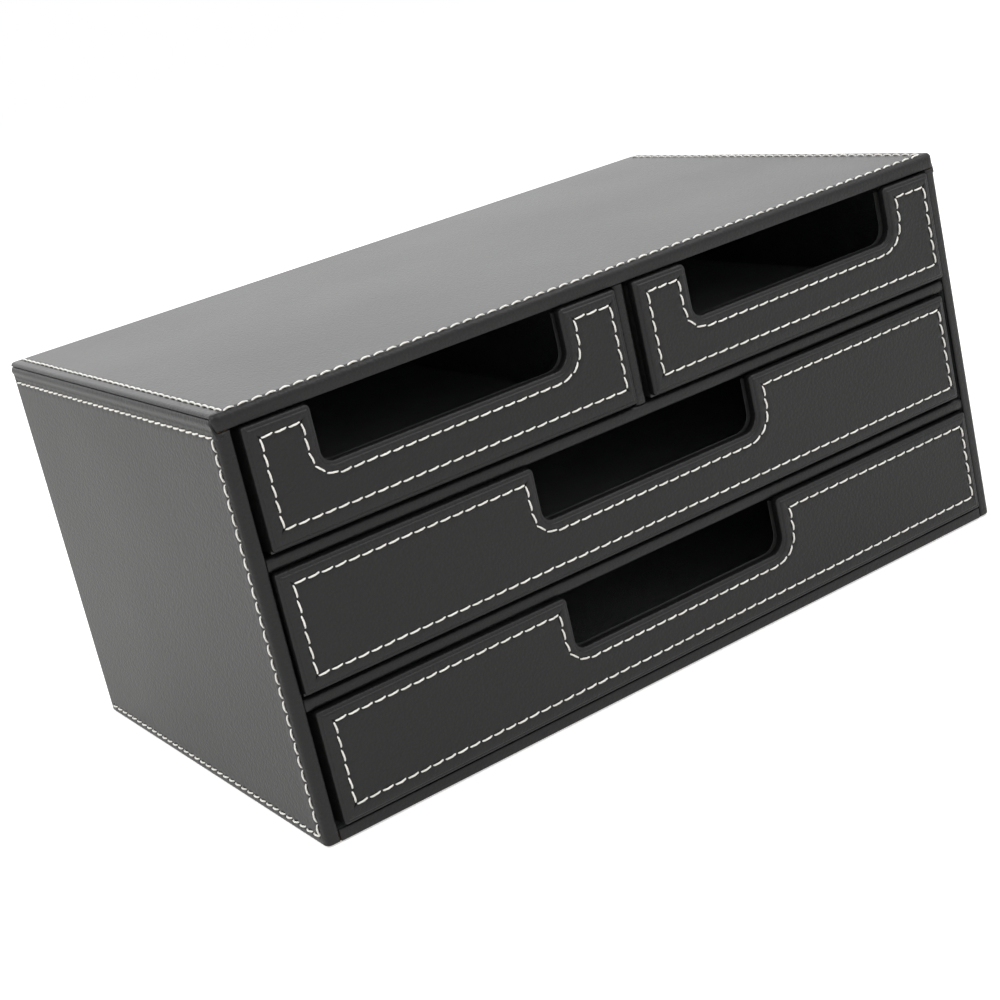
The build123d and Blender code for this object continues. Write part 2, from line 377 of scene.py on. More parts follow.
def needled_felt():
    """Needled polyester felt under the chest: black, matt, with tangled fibres of about 1 mm."""
    material, tree, output, place = new_material("needled_felt")
    tangle = node(tree, "ShaderNodeTexNoise",
                  {"Vector": place, "Scale": 1000 / 0.9, "Detail": 5.0, "Roughness": 0.75,
                   "Distortion": 1.5})
    tuft = node(tree, "ShaderNodeTexVoronoi", {"Vector": place, "Scale": 1000 / 2.2})
    mixed = node(tree, "ShaderNodeMath", {0: tangle.outputs["Fac"], 1: tuft.outputs["Distance"]},
                 operation="ADD")
    colour = ramp(tree, mixed.outputs[0], [(0.5, srgb("#101010")), (1.0, srgb("#262625"))])
    bump = node(tree, "ShaderNodeBump",
                {"Height": mixed.outputs[0], "Strength": 0.9, "Distance": 0.3 * MM})
    shader = node(tree, "ShaderNodeBsdfPrincipled",
                  {"Base Color": colour, "Roughness": 0.97, "Normal": bump.outputs["Normal"]})
    shader.inputs["Sheen Weight"].default_value = 0.3
    tree.links.new(shader.outputs[0], output.inputs["Surface"])
    return material


LEATHER = pu_leather()
THREAD = polyester_thread()
FLOCK = flocked_paper()
TRAY_PAPER = black_embossed_paper()
FIBREBOARD = raw_fibreboard()
FELT = needled_felt()
FINISHES = {"leather": LEATHER, "thread": THREAD, "lining": FLOCK, "tray_board": TRAY_PAPER,
            "fibreboard": FIBREBOARD, "felt": FELT}


# ---------------------------------------------------------------- meshes

def add_piece(name, points, faces, body, slot, nodes=()):
    """A mesh piece that rides on a body, takes a slot's finish and stands for its nodes."""
    work = bmesh.new()
    made = [work.verts.new(Vector(p) * MM) for p in points]
    for face in faces:
        work.faces.new([made[i] for i in face])
    bmesh.ops.remove_doubles(work, verts=work.verts, dist=0.002 * MM)
    wide = [f for f in work.faces if len(f.verts) > 4]
    bmesh.ops.triangulate(work, faces=wide, ngon_method="EAR_CLIP")
    bmesh.ops.recalc_face_normals(work, faces=work.faces)
    mesh = bpy.data.meshes.new(name)
    work.to_mesh(mesh)
    work.free()
    mesh.shade_smooth()
    mesh.set_sharp_from_angle(angle=math.radians(50))
    mesh.materials.append(FINISHES[slot])
    piece = bpy.data.objects.new(name, mesh)
    bpy.context.scene.collection.objects.link(piece)
    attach(piece, body)
    if nodes:
        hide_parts(*nodes)
    return piece


def bridge(rings):
    """Points and faces of a closed skin over rings that all have the same number of points."""
    count = len(rings[0])
    points = [p for ring in rings for p in ring]
    faces = []
    for row in range(len(rings) - 1):
        for i in range(count):
            j = (i + 1) % count
            low, high = row * count, (row + 1) * count
            faces.append((low + i, low + j, high + j, high + i))
    faces.append(tuple(range(count)))
    faces.append(tuple(range(len(points) - count, len(points))))
    return points, faces


class Outline:
    """A closed outline of square corners, anticlockwise, whose corners may be rounded.

    Every line drawn from it has the same number of points, so lines at different insets can be
    bridged. Sides are numbered by the corner that they start from.
    """

    def __init__(self, corners, radii, steps, arc_steps):
        self.corners = [np.array(c, float) for c in corners]
        self.radii = radii
        self.steps = steps
        self.arc_steps = arc_steps
        ends = self.corners[1:] + self.corners[:1]
        self.along = [(b - a) / np.linalg.norm(b - a) for a, b in zip(self.corners, ends)]
        self.inward = [np.array((-t[1], t[0])) for t in self.along]

    def radius(self, i, insets):
        """The radius of a corner on the line at those insets."""
        before, after = self.along[i - 1], self.along[i]
        turn = before[0] * after[1] - before[1] * after[0]
        return max(self.radii[i] - turn * (insets[i - 1] + insets[i]) / 2, 0.0)

    def line(self, insets):
        """The points of the line drawn in from each side by its own inset."""
        arcs = []
        for i, corner in enumerate(self.corners):
            before, after = self.along[i - 1], self.along[i]
            tip = corner + self.inward[i - 1] * insets[i - 1] + self.inward[i] * insets[i]
            r = self.radius(i, insets)
            centre = tip + (after - before) * r
            turns = [math.pi / 2 * k / self.arc_steps[i] for k in range(self.arc_steps[i] + 1)]
            arcs.append([centre + r * (before * math.sin(a) - after * math.cos(a)) for a in turns])
        points = []
        for i, arc in enumerate(arcs):
            points += arc
            start, end = arc[-1], arcs[(i + 1) % len(arcs)][0]
            points += [start + (end - start) * k / self.steps[i] for k in range(1, self.steps[i])]
        return np.array(points)

    def shares(self):
        """For each point of a line: the side before, the side after, and how far it is round."""
        made = []
        for i in range(len(self.corners)):
            before = (i - 1) % len(self.corners)
            made += [(before, i, k / self.arc_steps[i]) for k in range(self.arc_steps[i] + 1)]
            made += [(i, i, 0.0)] * (self.steps[i] - 1)
        return made

    def spread(self, values):
        """One value per side, spread over the points of a line and eased round the corners."""
        return np.array([values[a] + (values[b] - values[a]) * (f * f * (3 - 2 * f))
                         for a, b, f in self.shares()])

    def side_span(self, i):
        """The indices of side i's points, from the end of one corner to the start of the next."""
        sizes = [self.arc_steps[k] + self.steps[k] for k in range(len(self.corners))]
        start = sum(sizes[:i]) + self.arc_steps[i]
        total = sum(sizes)
        return [(start + k) % total for k in range(self.steps[i] + 1)]

    def corner_span(self, i):
        """The indices of corner i's own points."""
        sizes = [self.arc_steps[k] + self.steps[k] for k in range(len(self.corners))]
        start = sum(sizes[:i])
        return [start + k for k in range(self.arc_steps[i] + 1)]

    def seam_runs(self, insets, stitched):
        """Lists of indices of the stitched runs, which break where the seam turns sharply."""
        count = len(self.corners)
        runs = []
        for i in range(count):
            if i not in stitched:
                continue
            joins = (i - 1) % count in stitched and self.radius(i, insets) > 0.01
            if runs and joins:
                runs[-1] += self.corner_span(i)[1:-1] + self.side_span(i)
            else:
                runs.append(self.side_span(i))
        return runs


def channel(across, away):
    """Height of the leather beside a seam, by the way across it and along to the nearest hole."""
    groove = -CHANNEL_DEPTH * np.exp(-(across / CHANNEL_WIDTH) ** 2)
    pull = -HOLE_DEPTH * np.exp(-(across ** 2 + away ** 2) / HOLE_WIDTH ** 2)
    swell = SWELL_HEIGHT * np.exp(-((abs(across) - SWELL_AT) / SWELL_WIDTH) ** 2)
    pucker = (PUCKER_HEIGHT * np.exp(-(across / PUCKER_WIDTH) ** 2)
              * np.cos(2 * math.pi * away / STITCH_PITCH))
    return groove + pull + swell - pucker


def run_holes(line, run):
    """A run's points, their distances along it, and its evenly spaced needle holes' distances."""
    points = line[run]
    gone = np.concatenate([[0.0], np.cumsum(np.linalg.norm(np.diff(points, axis=0), axis=1))])
    count = max(1, round(gone[-1] / STITCH_PITCH))
    return points, gone, np.linspace(0.0, gone[-1], count + 1)


def seam_heights(seam_line, runs, across):
    """The channel's height at every point of the line that lies that far across the seam."""
    heights = np.zeros(len(seam_line))
    for run in runs:
        gone, holes = run_holes(seam_line, run)[1:]
        away = np.abs(gone[:, None] - holes[None, :]).min(axis=1)
        heights[run] = channel(np.full(len(run), across), away)
    return heights


def stitch_mesh(start, end, place, rng, points, faces):
    """One stitch between two needle holes: three twisted plies that rise, lie flat and dive."""
    way = end - start
    length = np.linalg.norm(way)
    way = way / length
    side = np.array((-way[1], way[0]))
    slant = THREAD_SLANT * rng.uniform(0.7, 1.3)
    drift = rng.uniform(-THREAD_DRIFT, THREAD_DRIFT)
    lift = THREAD_LIFT * rng.uniform(0.85, 1.15)
    phase = rng.uniform(0.0, 2 * math.pi)
    first = len(points)
    for stop in STITCH_STOPS:
        rise = max(math.sin(math.pi * stop), 0.0) ** 0.4
        level = -THREAD_SINK + (THREAD_SINK + lift) * rise
        gone = STITCH_GAP / 2 + (length - STITCH_GAP) * stop
        middle = start + way * gone + side * (drift + slant * (2 * stop - 1))
        girth = THREAD_RADIUS * (0.7 + 0.3 * rise)
        lean = (0.5 - stop) * 1.3 * (1 - rise) + (0.5 - stop) * 0.25
        for k in range(THREAD_LOBES):
            turn = 2 * math.pi * k / THREAD_LOBES
            twist = PLY_COUNT * turn - 2 * math.pi * gone / THREAD_TWIST + phase
            ply = 1 + PLY_RELIEF * math.cos(twist)
            out = girth * ply * math.cos(turn)
            up = girth * ply * math.sin(turn)
            spot = middle + side * out - way * up * lean
            points.append(place(spot[0], spot[1], level + up))
    last = first + (len(STITCH_STOPS) - 1) * THREAD_LOBES
    for low in range(first, last, THREAD_LOBES):
        high = low + THREAD_LOBES
        for k in range(THREAD_LOBES):
            j = (k + 1) % THREAD_LOBES
            faces.append((low + k, low + j, high + j, high + k))
    faces.append(tuple(range(first, first + THREAD_LOBES)))
    faces.append(tuple(range(last, last + THREAD_LOBES)))


def add_stitching(name, seam_line, runs, place, body, seed):
    """All the stitches of a piece's seams, as one mesh."""
    rng = random.Random(seed)
    points, faces = [], []
    for run in runs:
        line, gone, holes = run_holes(seam_line, run)
        spots = np.stack([np.interp(holes, gone, line[:, 0]), np.interp(holes, gone, line[:, 1])], 1)
        for start, end in zip(spots[:-1], spots[1:]):
            stitch_mesh(start, end, place, rng, points, faces)
    return add_piece(name, points, faces, body, "thread")


def steps_for(length, stitched):
    """How many points a side takes: close together where it is stitched."""
    if not stitched:
        return PLAIN_SIDE_SAMPLES
    return max(2, round(length / STITCH_PITCH * SAMPLES_PER_STITCH))


def rounded(radius, count):
    """(inset, depth) along a rounded edge, from its side to its face."""
    turns = [math.radians(90.0 * k / count) for k in range(count + 1)]
    return [(radius * (1 - math.sin(a)), radius * (1 - math.cos(a))) for a in reversed(turns)]


# ---------------------------------------------------------------- drawer fronts

def drawer_front(name):
    """A drawer's front: a board in a wrap of leather, with a stitched leather sheet on its face."""
    low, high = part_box(f"{name}_drawer_front_cover")
    left, bottom = low.x / MM, low.z / MM
    right, top = high.x / MM, high.z / MM
    middle = (left + right) / 2
    notch_low = top - NOTCH_DEPTH
    corners = [(left, bottom), (right, bottom), (right, top), (middle + NOTCH_HALF, top),
               (middle + NOTCH_HALF, notch_low), (middle - NOTCH_HALF, notch_low),
               (middle - NOTCH_HALF, top), (left, top)]
    radii = [FRONT_CORNER, FRONT_CORNER, FRONT_CORNER, NOTCH_LIP, NOTCH_CORNER_RIGHT,
             NOTCH_CORNER_LEFT, NOTCH_LIP, FRONT_CORNER]
    ends = corners[1:] + corners[:1]
    steps = [steps_for(math.dist(a, b), True) for a, b in zip(corners, ends)]
    arc_steps = [3, 3, 3, 6, 20, 20, 6, 3]
    outline = Outline(corners, radii, steps, arc_steps)
    seam = [SEAM_BOTTOM[name], SEAM_RIGHT, SEAM_TOP, NOTCH_SEAM_RIGHT, NOTCH_SEAM_LOW,
            NOTCH_SEAM_LEFT, SEAM_TOP, SEAM_LEFT]
    seam_line = outline.line(seam)
    runs = outline.seam_runs(seam, range(8))

    def place(x, z, height):
        return (x, FRONT_FACE - height, z)

    edge = [(inset, FRONT_THICKNESS - rise) for inset, rise in FRONT_BACK_EDGE]
    edge += [(inset, WRAP_DEPTH + depth) for inset, depth in rounded(WRAP_EDGE, 5)]
    edge += FACE_RISE
    rings = []
    for inset, depth in edge:
        rings.append([place(x, z, -depth) for x, z in outline.line([inset] * 8)])
    for k, across in enumerate(ACROSS):
        line = outline.line([max(s + across, FACE_FLAT + LEAST_STEP * k) for s in seam])
        heights = seam_heights(seam_line, runs, across)
        rings.append([place(x, z, h) for (x, z), h in zip(line, heights)])
    points, faces = bridge(rings)
    body = f"{name}_drawer"
    nodes = (f"{body}_front_cover", f"{body}_front_panel")
    add_piece(f"{body}_stitched_front", points, faces, body, "leather", nodes)
    add_stitching(f"{body}_front_stitching", seam_line, runs, place, body, f"{name} stitching")


def tray_lining(name):
    """The pile paper inside a tray: over its floor and four walls, soft in the corners."""
    low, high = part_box(f"{name}_drawer_lining")
    x_low, x_high = low.x / MM, high.x / MM
    y_low, y_high = low.y / MM, high.y / MM
    z_low, rim = low.z / MM, high.z / MM
    front_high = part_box(f"{name}_drawer_front_cover")[1].z / MM
    middle = (x_low + x_high) / 2
    notch_low = front_high - NOTCH_DEPTH - TRAY_NOTCH_BELOW
    r = TRAY_NOTCH_CORNER
    arc = [math.pi / 2 * k / 8 for k in range(9)]
    dip = [(-TRAY_NOTCH_HALF, rim)]
    dip += [(-TRAY_NOTCH_HALF + r - r * math.cos(a), notch_low + r - r * math.sin(a)) for a in arc]
    dip += [(x, notch_low) for x in range(-30, 31, 10)]
    dip += [(-x, z) for x, z in reversed(dip[:10])]
    half = (x_high - x_low) / 2
    side = y_high - y_low
    loop = [(-half, 0.0, rim)] + [(x, 0.0, z) for x, z in dip] + [(half, 0.0, rim)]
    loop += [(half, side * k / 12, rim) for k in range(1, 13)]
    loop += [(half - 2 * half * k / 16, side, rim) for k in range(1, 17)]
    loop += [(-half, side * (1 - k / 12), rim) for k in range(1, 12)]

    def ring(inset, level):
        # A low ring lies level, and one near the rim follows the notch's dip.
        made = []
        for x, y, z in loop:
            near = min(max(x, -half + inset), half - inset)
            deep = min(max(y, inset), side - inset)
            height = level if level < z_low + 5 else z + level - rim
            made.append((middle + near, y_low + deep, height))
        return made

    face = z_low + PILE
    rings = [ring(0.0, z_low), ring(0.0, rim - PILE_EDGE), ring(PILE_EDGE, rim),
             ring(PILE - PILE_EDGE, rim), ring(PILE, rim - PILE_EDGE)]
    for k in range(PILE_BEND_STEPS + 1):
        turn = math.pi / 2 * k / PILE_BEND_STEPS
        inset = PILE + PILE_BEND * (1 - math.cos(turn))
        rings.append(ring(inset, face + PILE_BEND * (1 - math.sin(turn))))
    rings.append(ring(PILE + PILE_BEND + PILE_FLAT_START, face))
    points, faces = bridge(rings)
    node_name = f"{name}_drawer_lining"
    add_piece(f"{name}_drawer_pile_lining", points, faces, f"{name}_drawer", "lining", (node_name,))


# ---------------------------------------------------------------- casing leather

def strip_share(turn):
    """Share of the front strip's depth reached, by the share of the corner turned from the side."""
    share = min(turn / 0.5, 1.0)
    return share * share * (3 - 2 * share)


def top_sheet():
    """The top's leather: stitched along its front and ends, and turned down over all four edges."""
    hw, hd = HALF_WIDTH, HALF_DEPTH
    corners = [(-hw, -hd), (hw, -hd), (hw, hd), (-hw, hd)]
    stitched = (0, 1, 3)
    spans = [2 * hw, 2 * hd, 2 * hw, 2 * hd]
    steps = [steps_for(spans[i], i in stitched) for i in range(4)]
    outline = Outline(corners, [UPRIGHT_ARRIS] * 4, steps, [8] * 4)
    seam = [TOP_SEAM_FRONT, TOP_SEAM_END, TOP_INNER_BACK, TOP_SEAM_END]
    seam_line = outline.line(seam)
    runs = outline.seam_runs(seam, stitched)
    drops = [TOP - CEILING, TURN_DOWN, TURN_DOWN, TURN_DOWN]

    def lip(back):
        # Round a front corner the deep strip gives way to the turned edge close to the side.
        made = []
        for before, after, share in outline.shares():
            share = strip_share(1 - share) if before == 0 else strip_share(share)
            share = 1 - share if before == 0 else share
            made.append(drops[before] + (drops[after] - drops[before]) * share - back)
        return made

    def place(x, y, height):
        return (x, y, TOP + height)

    rings = []
    inner = outline.line([SIDE_LEATHER] * 4)
    rings.append([place(x, y, -TOP_LEATHER) for x, y in inner])
    rings.append([place(x, y, -max(d, TOP_LEATHER)) for (x, y), d in zip(inner, lip(0.0))])
    for inset, back in TOP_LIP_EDGE:
        rings.append([place(x, y, -d) for (x, y), d in zip(outline.line([inset] * 4), lip(back))])
    rolls = [TOP_FRONT_ARRIS, TOP_ARRIS, TOP_ARRIS, TOP_ARRIS]
    for inset, depth in rounded(1.0, 8):
        depths = [min(depth * r, drop - TOP_LIP_ROOM) for r, drop in zip(rolls, drops)]
        line = outline.line([inset * r for r in rolls])
        rings.append([place(x, y, -d) for (x, y), d in zip(line, outline.spread(depths))])
    for k, across in enumerate(ACROSS):
        insets = [max(s + across, roll + LEAST_STEP * (k + 1)) for s, roll in zip(seam, rolls)]
        insets[2] = TOP_ARRIS + TOP_BACK_STEP * (k + 1)
        line = outline.line(insets)
        heights = seam_heights(seam_line, runs, across)
        rings.append([place(x, y, h) for (x, y), h in zip(line, heights)])
    points, faces = bridge(rings)
    add_piece("top_leather", points, faces, "casing", "leather", ("top_cover",))
    add_stitching("top_stitching", seam_line, runs, place, "casing", "top stitching")


def side_place(sign):
    """Places a point of a side's leather: along it, up it, and out from it, round both corners.

    Along runs forward on the outer face, from 0 at the middle of its depth. Past the flat it
    turns the corner on to the front band, and the other way on to the back.
    """
    flat = HALF_DEPTH - UPRIGHT_ARRIS
    quarter = math.pi / 2 * UPRIGHT_ARRIS

    def place(along, up, height):
        end = math.copysign(1.0, along)
        past = abs(along) - flat
        if past <= 0:
            x, y = HALF_WIDTH + height, -along
        elif past < quarter:
            turn = past / UPRIGHT_ARRIS
            x = HALF_WIDTH - UPRIGHT_ARRIS + (UPRIGHT_ARRIS + height) * math.cos(turn)
            y = -end * (flat + (UPRIGHT_ARRIS + height) * math.sin(turn))
        else:
            x = HALF_WIDTH - UPRIGHT_ARRIS - (past - quarter)
            y = -end * (HALF_DEPTH + height)
        return (sign * x, y, up)

    return place


def side_sheet(word, sign):
    """One side's leather: over the outer face, round to the front band and round to the back."""
    place = side_place(sign)
    flat = HALF_DEPTH - UPRIGHT_ARRIS
    quarter = math.pi / 2 * UPRIGHT_ARRIS
    band = HALF_WIDTH - UPRIGHT_ARRIS - BAY_HALF_WIDTH
    wrap = BACK_WRAP - UPRIGHT_ARRIS
    front_end = flat + quarter + band
    back_end = -(flat + quarter + wrap)
    top_end = TOP - TURN_DOWN - SEAM_GAP
    corners = [(back_end, BASE), (front_end, BASE), (front_end, top_end), (back_end, top_end)]
    stitched = (0, 1, 2)
    spans = [front_end - back_end, top_end - BASE, front_end - back_end, top_end - BASE]
    steps = [steps_for(spans[i], i in stitched) for i in range(4)]
    outline = Outline(corners, [0.0] * 4, steps, [1] * 4)
    front_seam = band + quarter + SIDE_SEAM_FRONT
    back_seam = wrap + quarter + SIDE_INNER_BACK
    seam = [SIDE_SEAM_LOW, front_seam, SIDE_SEAM_TOP, back_seam]
    seam_line = outline.line(seam)
    runs = outline.seam_runs(seam, stitched)

    def ring(insets, height):
        line = outline.line(insets)
        heights = np.broadcast_to(height, (len(line),))
        return [lowered(x, z, h) for (x, z), h in zip(line, heights)]

    def lowered(along, up, height):
        # The front band stops under the top sheet's front strip, so its upper end comes down.
        ease = strip_share(min(max((along - flat) / quarter, 0.0), 1.0))
        near_top = min(max((up - BAND_DROP_FROM) / (top_end - BAND_DROP_FROM), 0.0), 1.0)
        drop = (top_end - (CEILING - SEAM_GAP)) * ease * near_top
        return place(along, up - drop, height)

    top_share = np.array([float(share[0] == share[1] == 2) for share in outline.shares()])

    def bulge(down):
        # The turned top edge is a plump roll under the top sheet.
        return top_share * ROLL_HEIGHT * math.sin(math.pi * min(down / ROLL_DEPTH, 1.0)) ** 0.8

    rings = []
    for share in SIDE_INNER_SHARES:
        margin = SIDE_INNER_MARGIN * share
        front_in = (band + quarter) * share + 0.01
        back_in = (wrap + quarter) * share + 0.01
        level = [margin, front_in, margin, back_in] if share else [0.0] * 4
        rings.append(ring(level, -SIDE_LEATHER))
    for inset, roll, height in SIDE_EDGE:
        rings.append(ring([inset, inset, roll, inset], height))
    for k in range(1, SIDE_ROLL_RINGS + 1):
        share = k / SIDE_ROLL_RINGS
        low_in = SIDE_EDGE_IN + SIDE_LOW_STEP * k
        front_in = SIDE_EDGE_IN + (band - SIDE_EDGE_IN + quarter) * share
        back_in = SIDE_EDGE_IN + (wrap - SIDE_EDGE_IN + quarter) * share
        down = SIDE_ROLL_STEP * k
        rings.append(ring([low_in, front_in, SIDE_ROLL_START + down, back_in], bulge(down)))
    for k, across in enumerate(ACROSS):
        heights = seam_heights(seam_line, runs, across)
        low_in = max(seam[0] + across, SIDE_LOW_FLAT + SIDE_FLAT_STEP * k)
        top_in = max(seam[2] + across, SIDE_TOP_FLAT + SIDE_FLAT_STEP * k)
        front_in = max(seam[1] + across, band + quarter + LEAST_STEP * (k + 1))
        back_in = wrap + quarter + SIDE_BACK_STEP * (k + 1)
        rings.append(ring([low_in, front_in, top_in, back_in], heights))
    points, faces = bridge(rings)
    node_name = f"{word}_side_cover"
    add_piece(f"{word}_side_leather", points, faces, "casing", "leather", (node_name,))
    add_stitching(f"{word}_side_stitching", seam_line, runs, place, "casing", f"{word} stitching")


def plain_panel(name, corners, place, thickness, node_name, slot="leather", edge=0.45, foot=0.45):
    """A plain glued panel with soft edges; its foot is the edge of its first side."""
    spans = [math.dist(a, b) for a, b in zip(corners, corners[1:] + corners[:1])]
    outline = Outline(corners, [0.3] * 4, [max(4, round(s / 6)) for s in spans], [3] * 4)
    within = min(2.0, 0.45 * min(spans))
    rings = []
    for inset, depth in ((within / 2, thickness), (0.0, thickness)) + tuple(rounded(edge, 4)):
        insets = [inset * foot / edge] + [inset] * 3
        rings.append([place(u, v, -depth) for u, v in outline.line(insets)])
    rings.append([place(u, v, 0.0) for u, v in outline.line([within] * 4)])
    points, faces = bridge(rings)
    return add_piece(name, points, faces, "casing", slot, (node_name,))


def back_panel():
    """The leather panel of the back, whose edges cover what is turned over from the sides."""
    half = HALF_WIDTH - BACK_WRAP - SEAM_GAP
    top_end = TOP - TURN_DOWN - SEAM_GAP
    corners = [(-half, BASE), (half, BASE), (half, top_end), (-half, top_end)]

    def place(u, v, height):
        return (-u, HALF_DEPTH + height, v)

    plain_panel("back_leather", corners, place, SIDE_LEATHER, "back_cover")


def base_edge():
    """The leather strip over the base board's front edge."""
    half = BAY_HALF_WIDTH - SEAM_GAP
    corners = [(-half, BASE), (half, BASE), (half, FLOOR), (-half, FLOOR)]

    def place(u, v, height):
        return (u, -HALF_DEPTH - height, v)

    plain_panel("base_edge_leather", corners, place, SIDE_LEATHER, "base_edge_cover",
                edge=0.55, foot=0.15)


def slow_waves(seed, count, lengths, sizes):
    """Waves of chance length, phase and size, whose sum is a wandering edge."""
    rng = random.Random(seed)
    waves = []
    while len(waves) < count:
        waves.append((rng.uniform(*lengths), rng.uniform(*WAVE_PHASES), rng.uniform(*sizes)))
    return waves


def wander(waves, at):
    """How far the waves carry an edge off its line at a distance along it."""
    return sum(size * math.sin(2 * math.pi * at / length + phase) for length, phase, size in waves)


def wrapped_edge(name, node_name, axis):
    """Leather folded round the front of a shelf or divider, with its slight hand-pulled waves."""
    waves = slow_waves(name, SHELF_WAVE_COUNT, SHELF_WAVE_LENGTHS, SHELF_WAVE_SIZES)
    low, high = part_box(node_name)
    start, end = (low.x / MM, high.x / MM) if axis == "x" else (low.z / MM, high.z / MM)
    across_low = low.z / MM if axis == "x" else low.x / MM
    board_low, board_high = SHELF_LEATHER, SHELF_THICKNESS - SHELF_LEATHER
    board_front = SHELF_FRONT + SHELF_FRONT_LEATHER
    arc = [math.radians(a) for a in range(0, 91, 15)]
    r = SHELF_EDGE
    profile = [(BAY_BACK, board_low), (BAY_BACK, 0.0)]
    profile += [(SHELF_FRONT + r - r * math.sin(a), r - r * math.cos(a)) for a in arc]
    upper = SHELF_THICKNESS - r
    profile += [(SHELF_FRONT + r - r * math.cos(a), upper + r * math.sin(a)) for a in arc]
    profile += [(BAY_BACK, SHELF_THICKNESS), (BAY_BACK, board_high), (board_front, board_high),
                (board_front, board_low)]
    outer = [1 < i < 2 + 2 * len(arc) for i in range(len(profile))]
    length = end - start
    count = max(8, round(length / SHELF_RING_STEP))
    places = list(SHELF_END_PULL)
    places += [(length * k / count, 0.0) for k in range(1, count)]
    places += [(length - gone, pulled) for gone, pulled in reversed(SHELF_END_PULL)]
    rings = []
    for gone, pulled in places:
        at = start + gone
        back = SHELF_EASE + wander(waves, at) * SHELF_WAVE_SHARE + pulled
        ring = []
        for (y, t), out in zip(profile, outer):
            depth = y + (back if out else 0.0)
            across = across_low + t
            ring.append((at, depth, across) if axis == "x" else (across, depth, at))
        rings.append(ring)
    points, faces = bridge(rings)
    return add_piece(name, points, faces, "casing", "leather", (node_name,))


def shelves_and_divider():
    """Both shelves and the divider of the top bay."""
    wrapped_edge("lower_shelf_leather", "lower_shelf_cover", "x")
    wrapped_edge("upper_shelf_leather", "upper_shelf_cover", "x")
    wrapped_edge("divider_leather", "divider_cover", "z")


# ---------------------------------------------------------------- linings and felt

def casing_linings():
    """Flocked paper on the bays' faces, each sheet a panel with soft cut edges."""
    back = BAY_BACK + PILE
    front = -HALF_DEPTH + SIDE_LEATHER
    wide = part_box("floor_lining")[1].x / MM
    flat = [(-wide, front), (wide, front), (wide, back), (-wide, back)]
    plain_panel("floor_flocked_paper", flat, lambda u, v, h: (u, v, FLOOR + h), PILE,
                "floor_lining", "lining", edge=0.15, foot=0.15)
    plain_panel("ceiling_flocked_paper", flat, lambda u, v, h: (u, v, CEILING - h), PILE,
                "ceiling_lining", "lining", edge=0.15, foot=0.15)
    upright = [(front, FLOOR), (back, FLOOR), (back, CEILING), (front, CEILING)]
    plain_panel("left_flocked_paper", upright, lambda u, v, h: (-BAY_HALF_WIDTH + h, u, v), PILE,
                "left_lining", "lining", edge=0.15, foot=0.15)
    plain_panel("right_flocked_paper", upright, lambda u, v, h: (BAY_HALF_WIDTH - h, u, v), PILE,
                "right_lining", "lining", edge=0.15, foot=0.15)
    width = BAY_HALF_WIDTH
    behind = [(-width, FLOOR), (width, FLOOR), (width, CEILING), (-width, CEILING)]
    plain_panel("back_flocked_paper", behind, lambda u, v, h: (u, BAY_BACK - h, v), PILE,
                "back_lining", "lining", edge=0.15, foot=0.15)


def felt_foot():
    """The felt that the chest stands on: cut by hand, so that its edge wanders a little."""
    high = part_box("base_felt")[1]
    hw, hd, thick = high.x / MM, high.y / MM, high.z / MM
    corners = [(-hw, -hd), (hw, -hd), (hw, hd), (-hw, hd)]
    outline = Outline(corners, [FELT_CORNER] * 4, [90, 60, 90, 60], [6] * 4)
    waves = slow_waves("felt", FELT_WAVE_COUNT, FELT_WAVE_LENGTHS, FELT_WAVE_SIZES)
    edge = ((FELT_INNER, 0.0), (0.5, 0.0), (0.14, 0.06), (0.05, 0.2), (0.16, 0.34), (0.5, thick),
            (FELT_INNER, thick))
    rings = []
    for inset, height in edge:
        ring = []
        for x, y in outline.line([inset + FELT_TRIM] * 4):
            pull = 1 - wander(waves, x + FELT_WAVE_SLANT * y) / hw
            ring.append((x * pull, y * pull, height))
        rings.append(ring)
    points, faces = bridge(rings)
    add_piece("felt_foot", points, faces, "casing", "felt", ("base_felt",))


# ---------------------------------------------------------------- finishes of the solids that stay

def finish_solids():
    """The boards and tray walls keep their solids and take their own finish."""
    for name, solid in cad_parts.items():
        if solid.hide_render:
            continue
        finish = TRAY_PAPER if "_drawer_" in name else FIBREBOARD
        solid.data.materials.clear()
        solid.data.materials.append(finish)


# ---------------------------------------------------------------- floor, light and camera

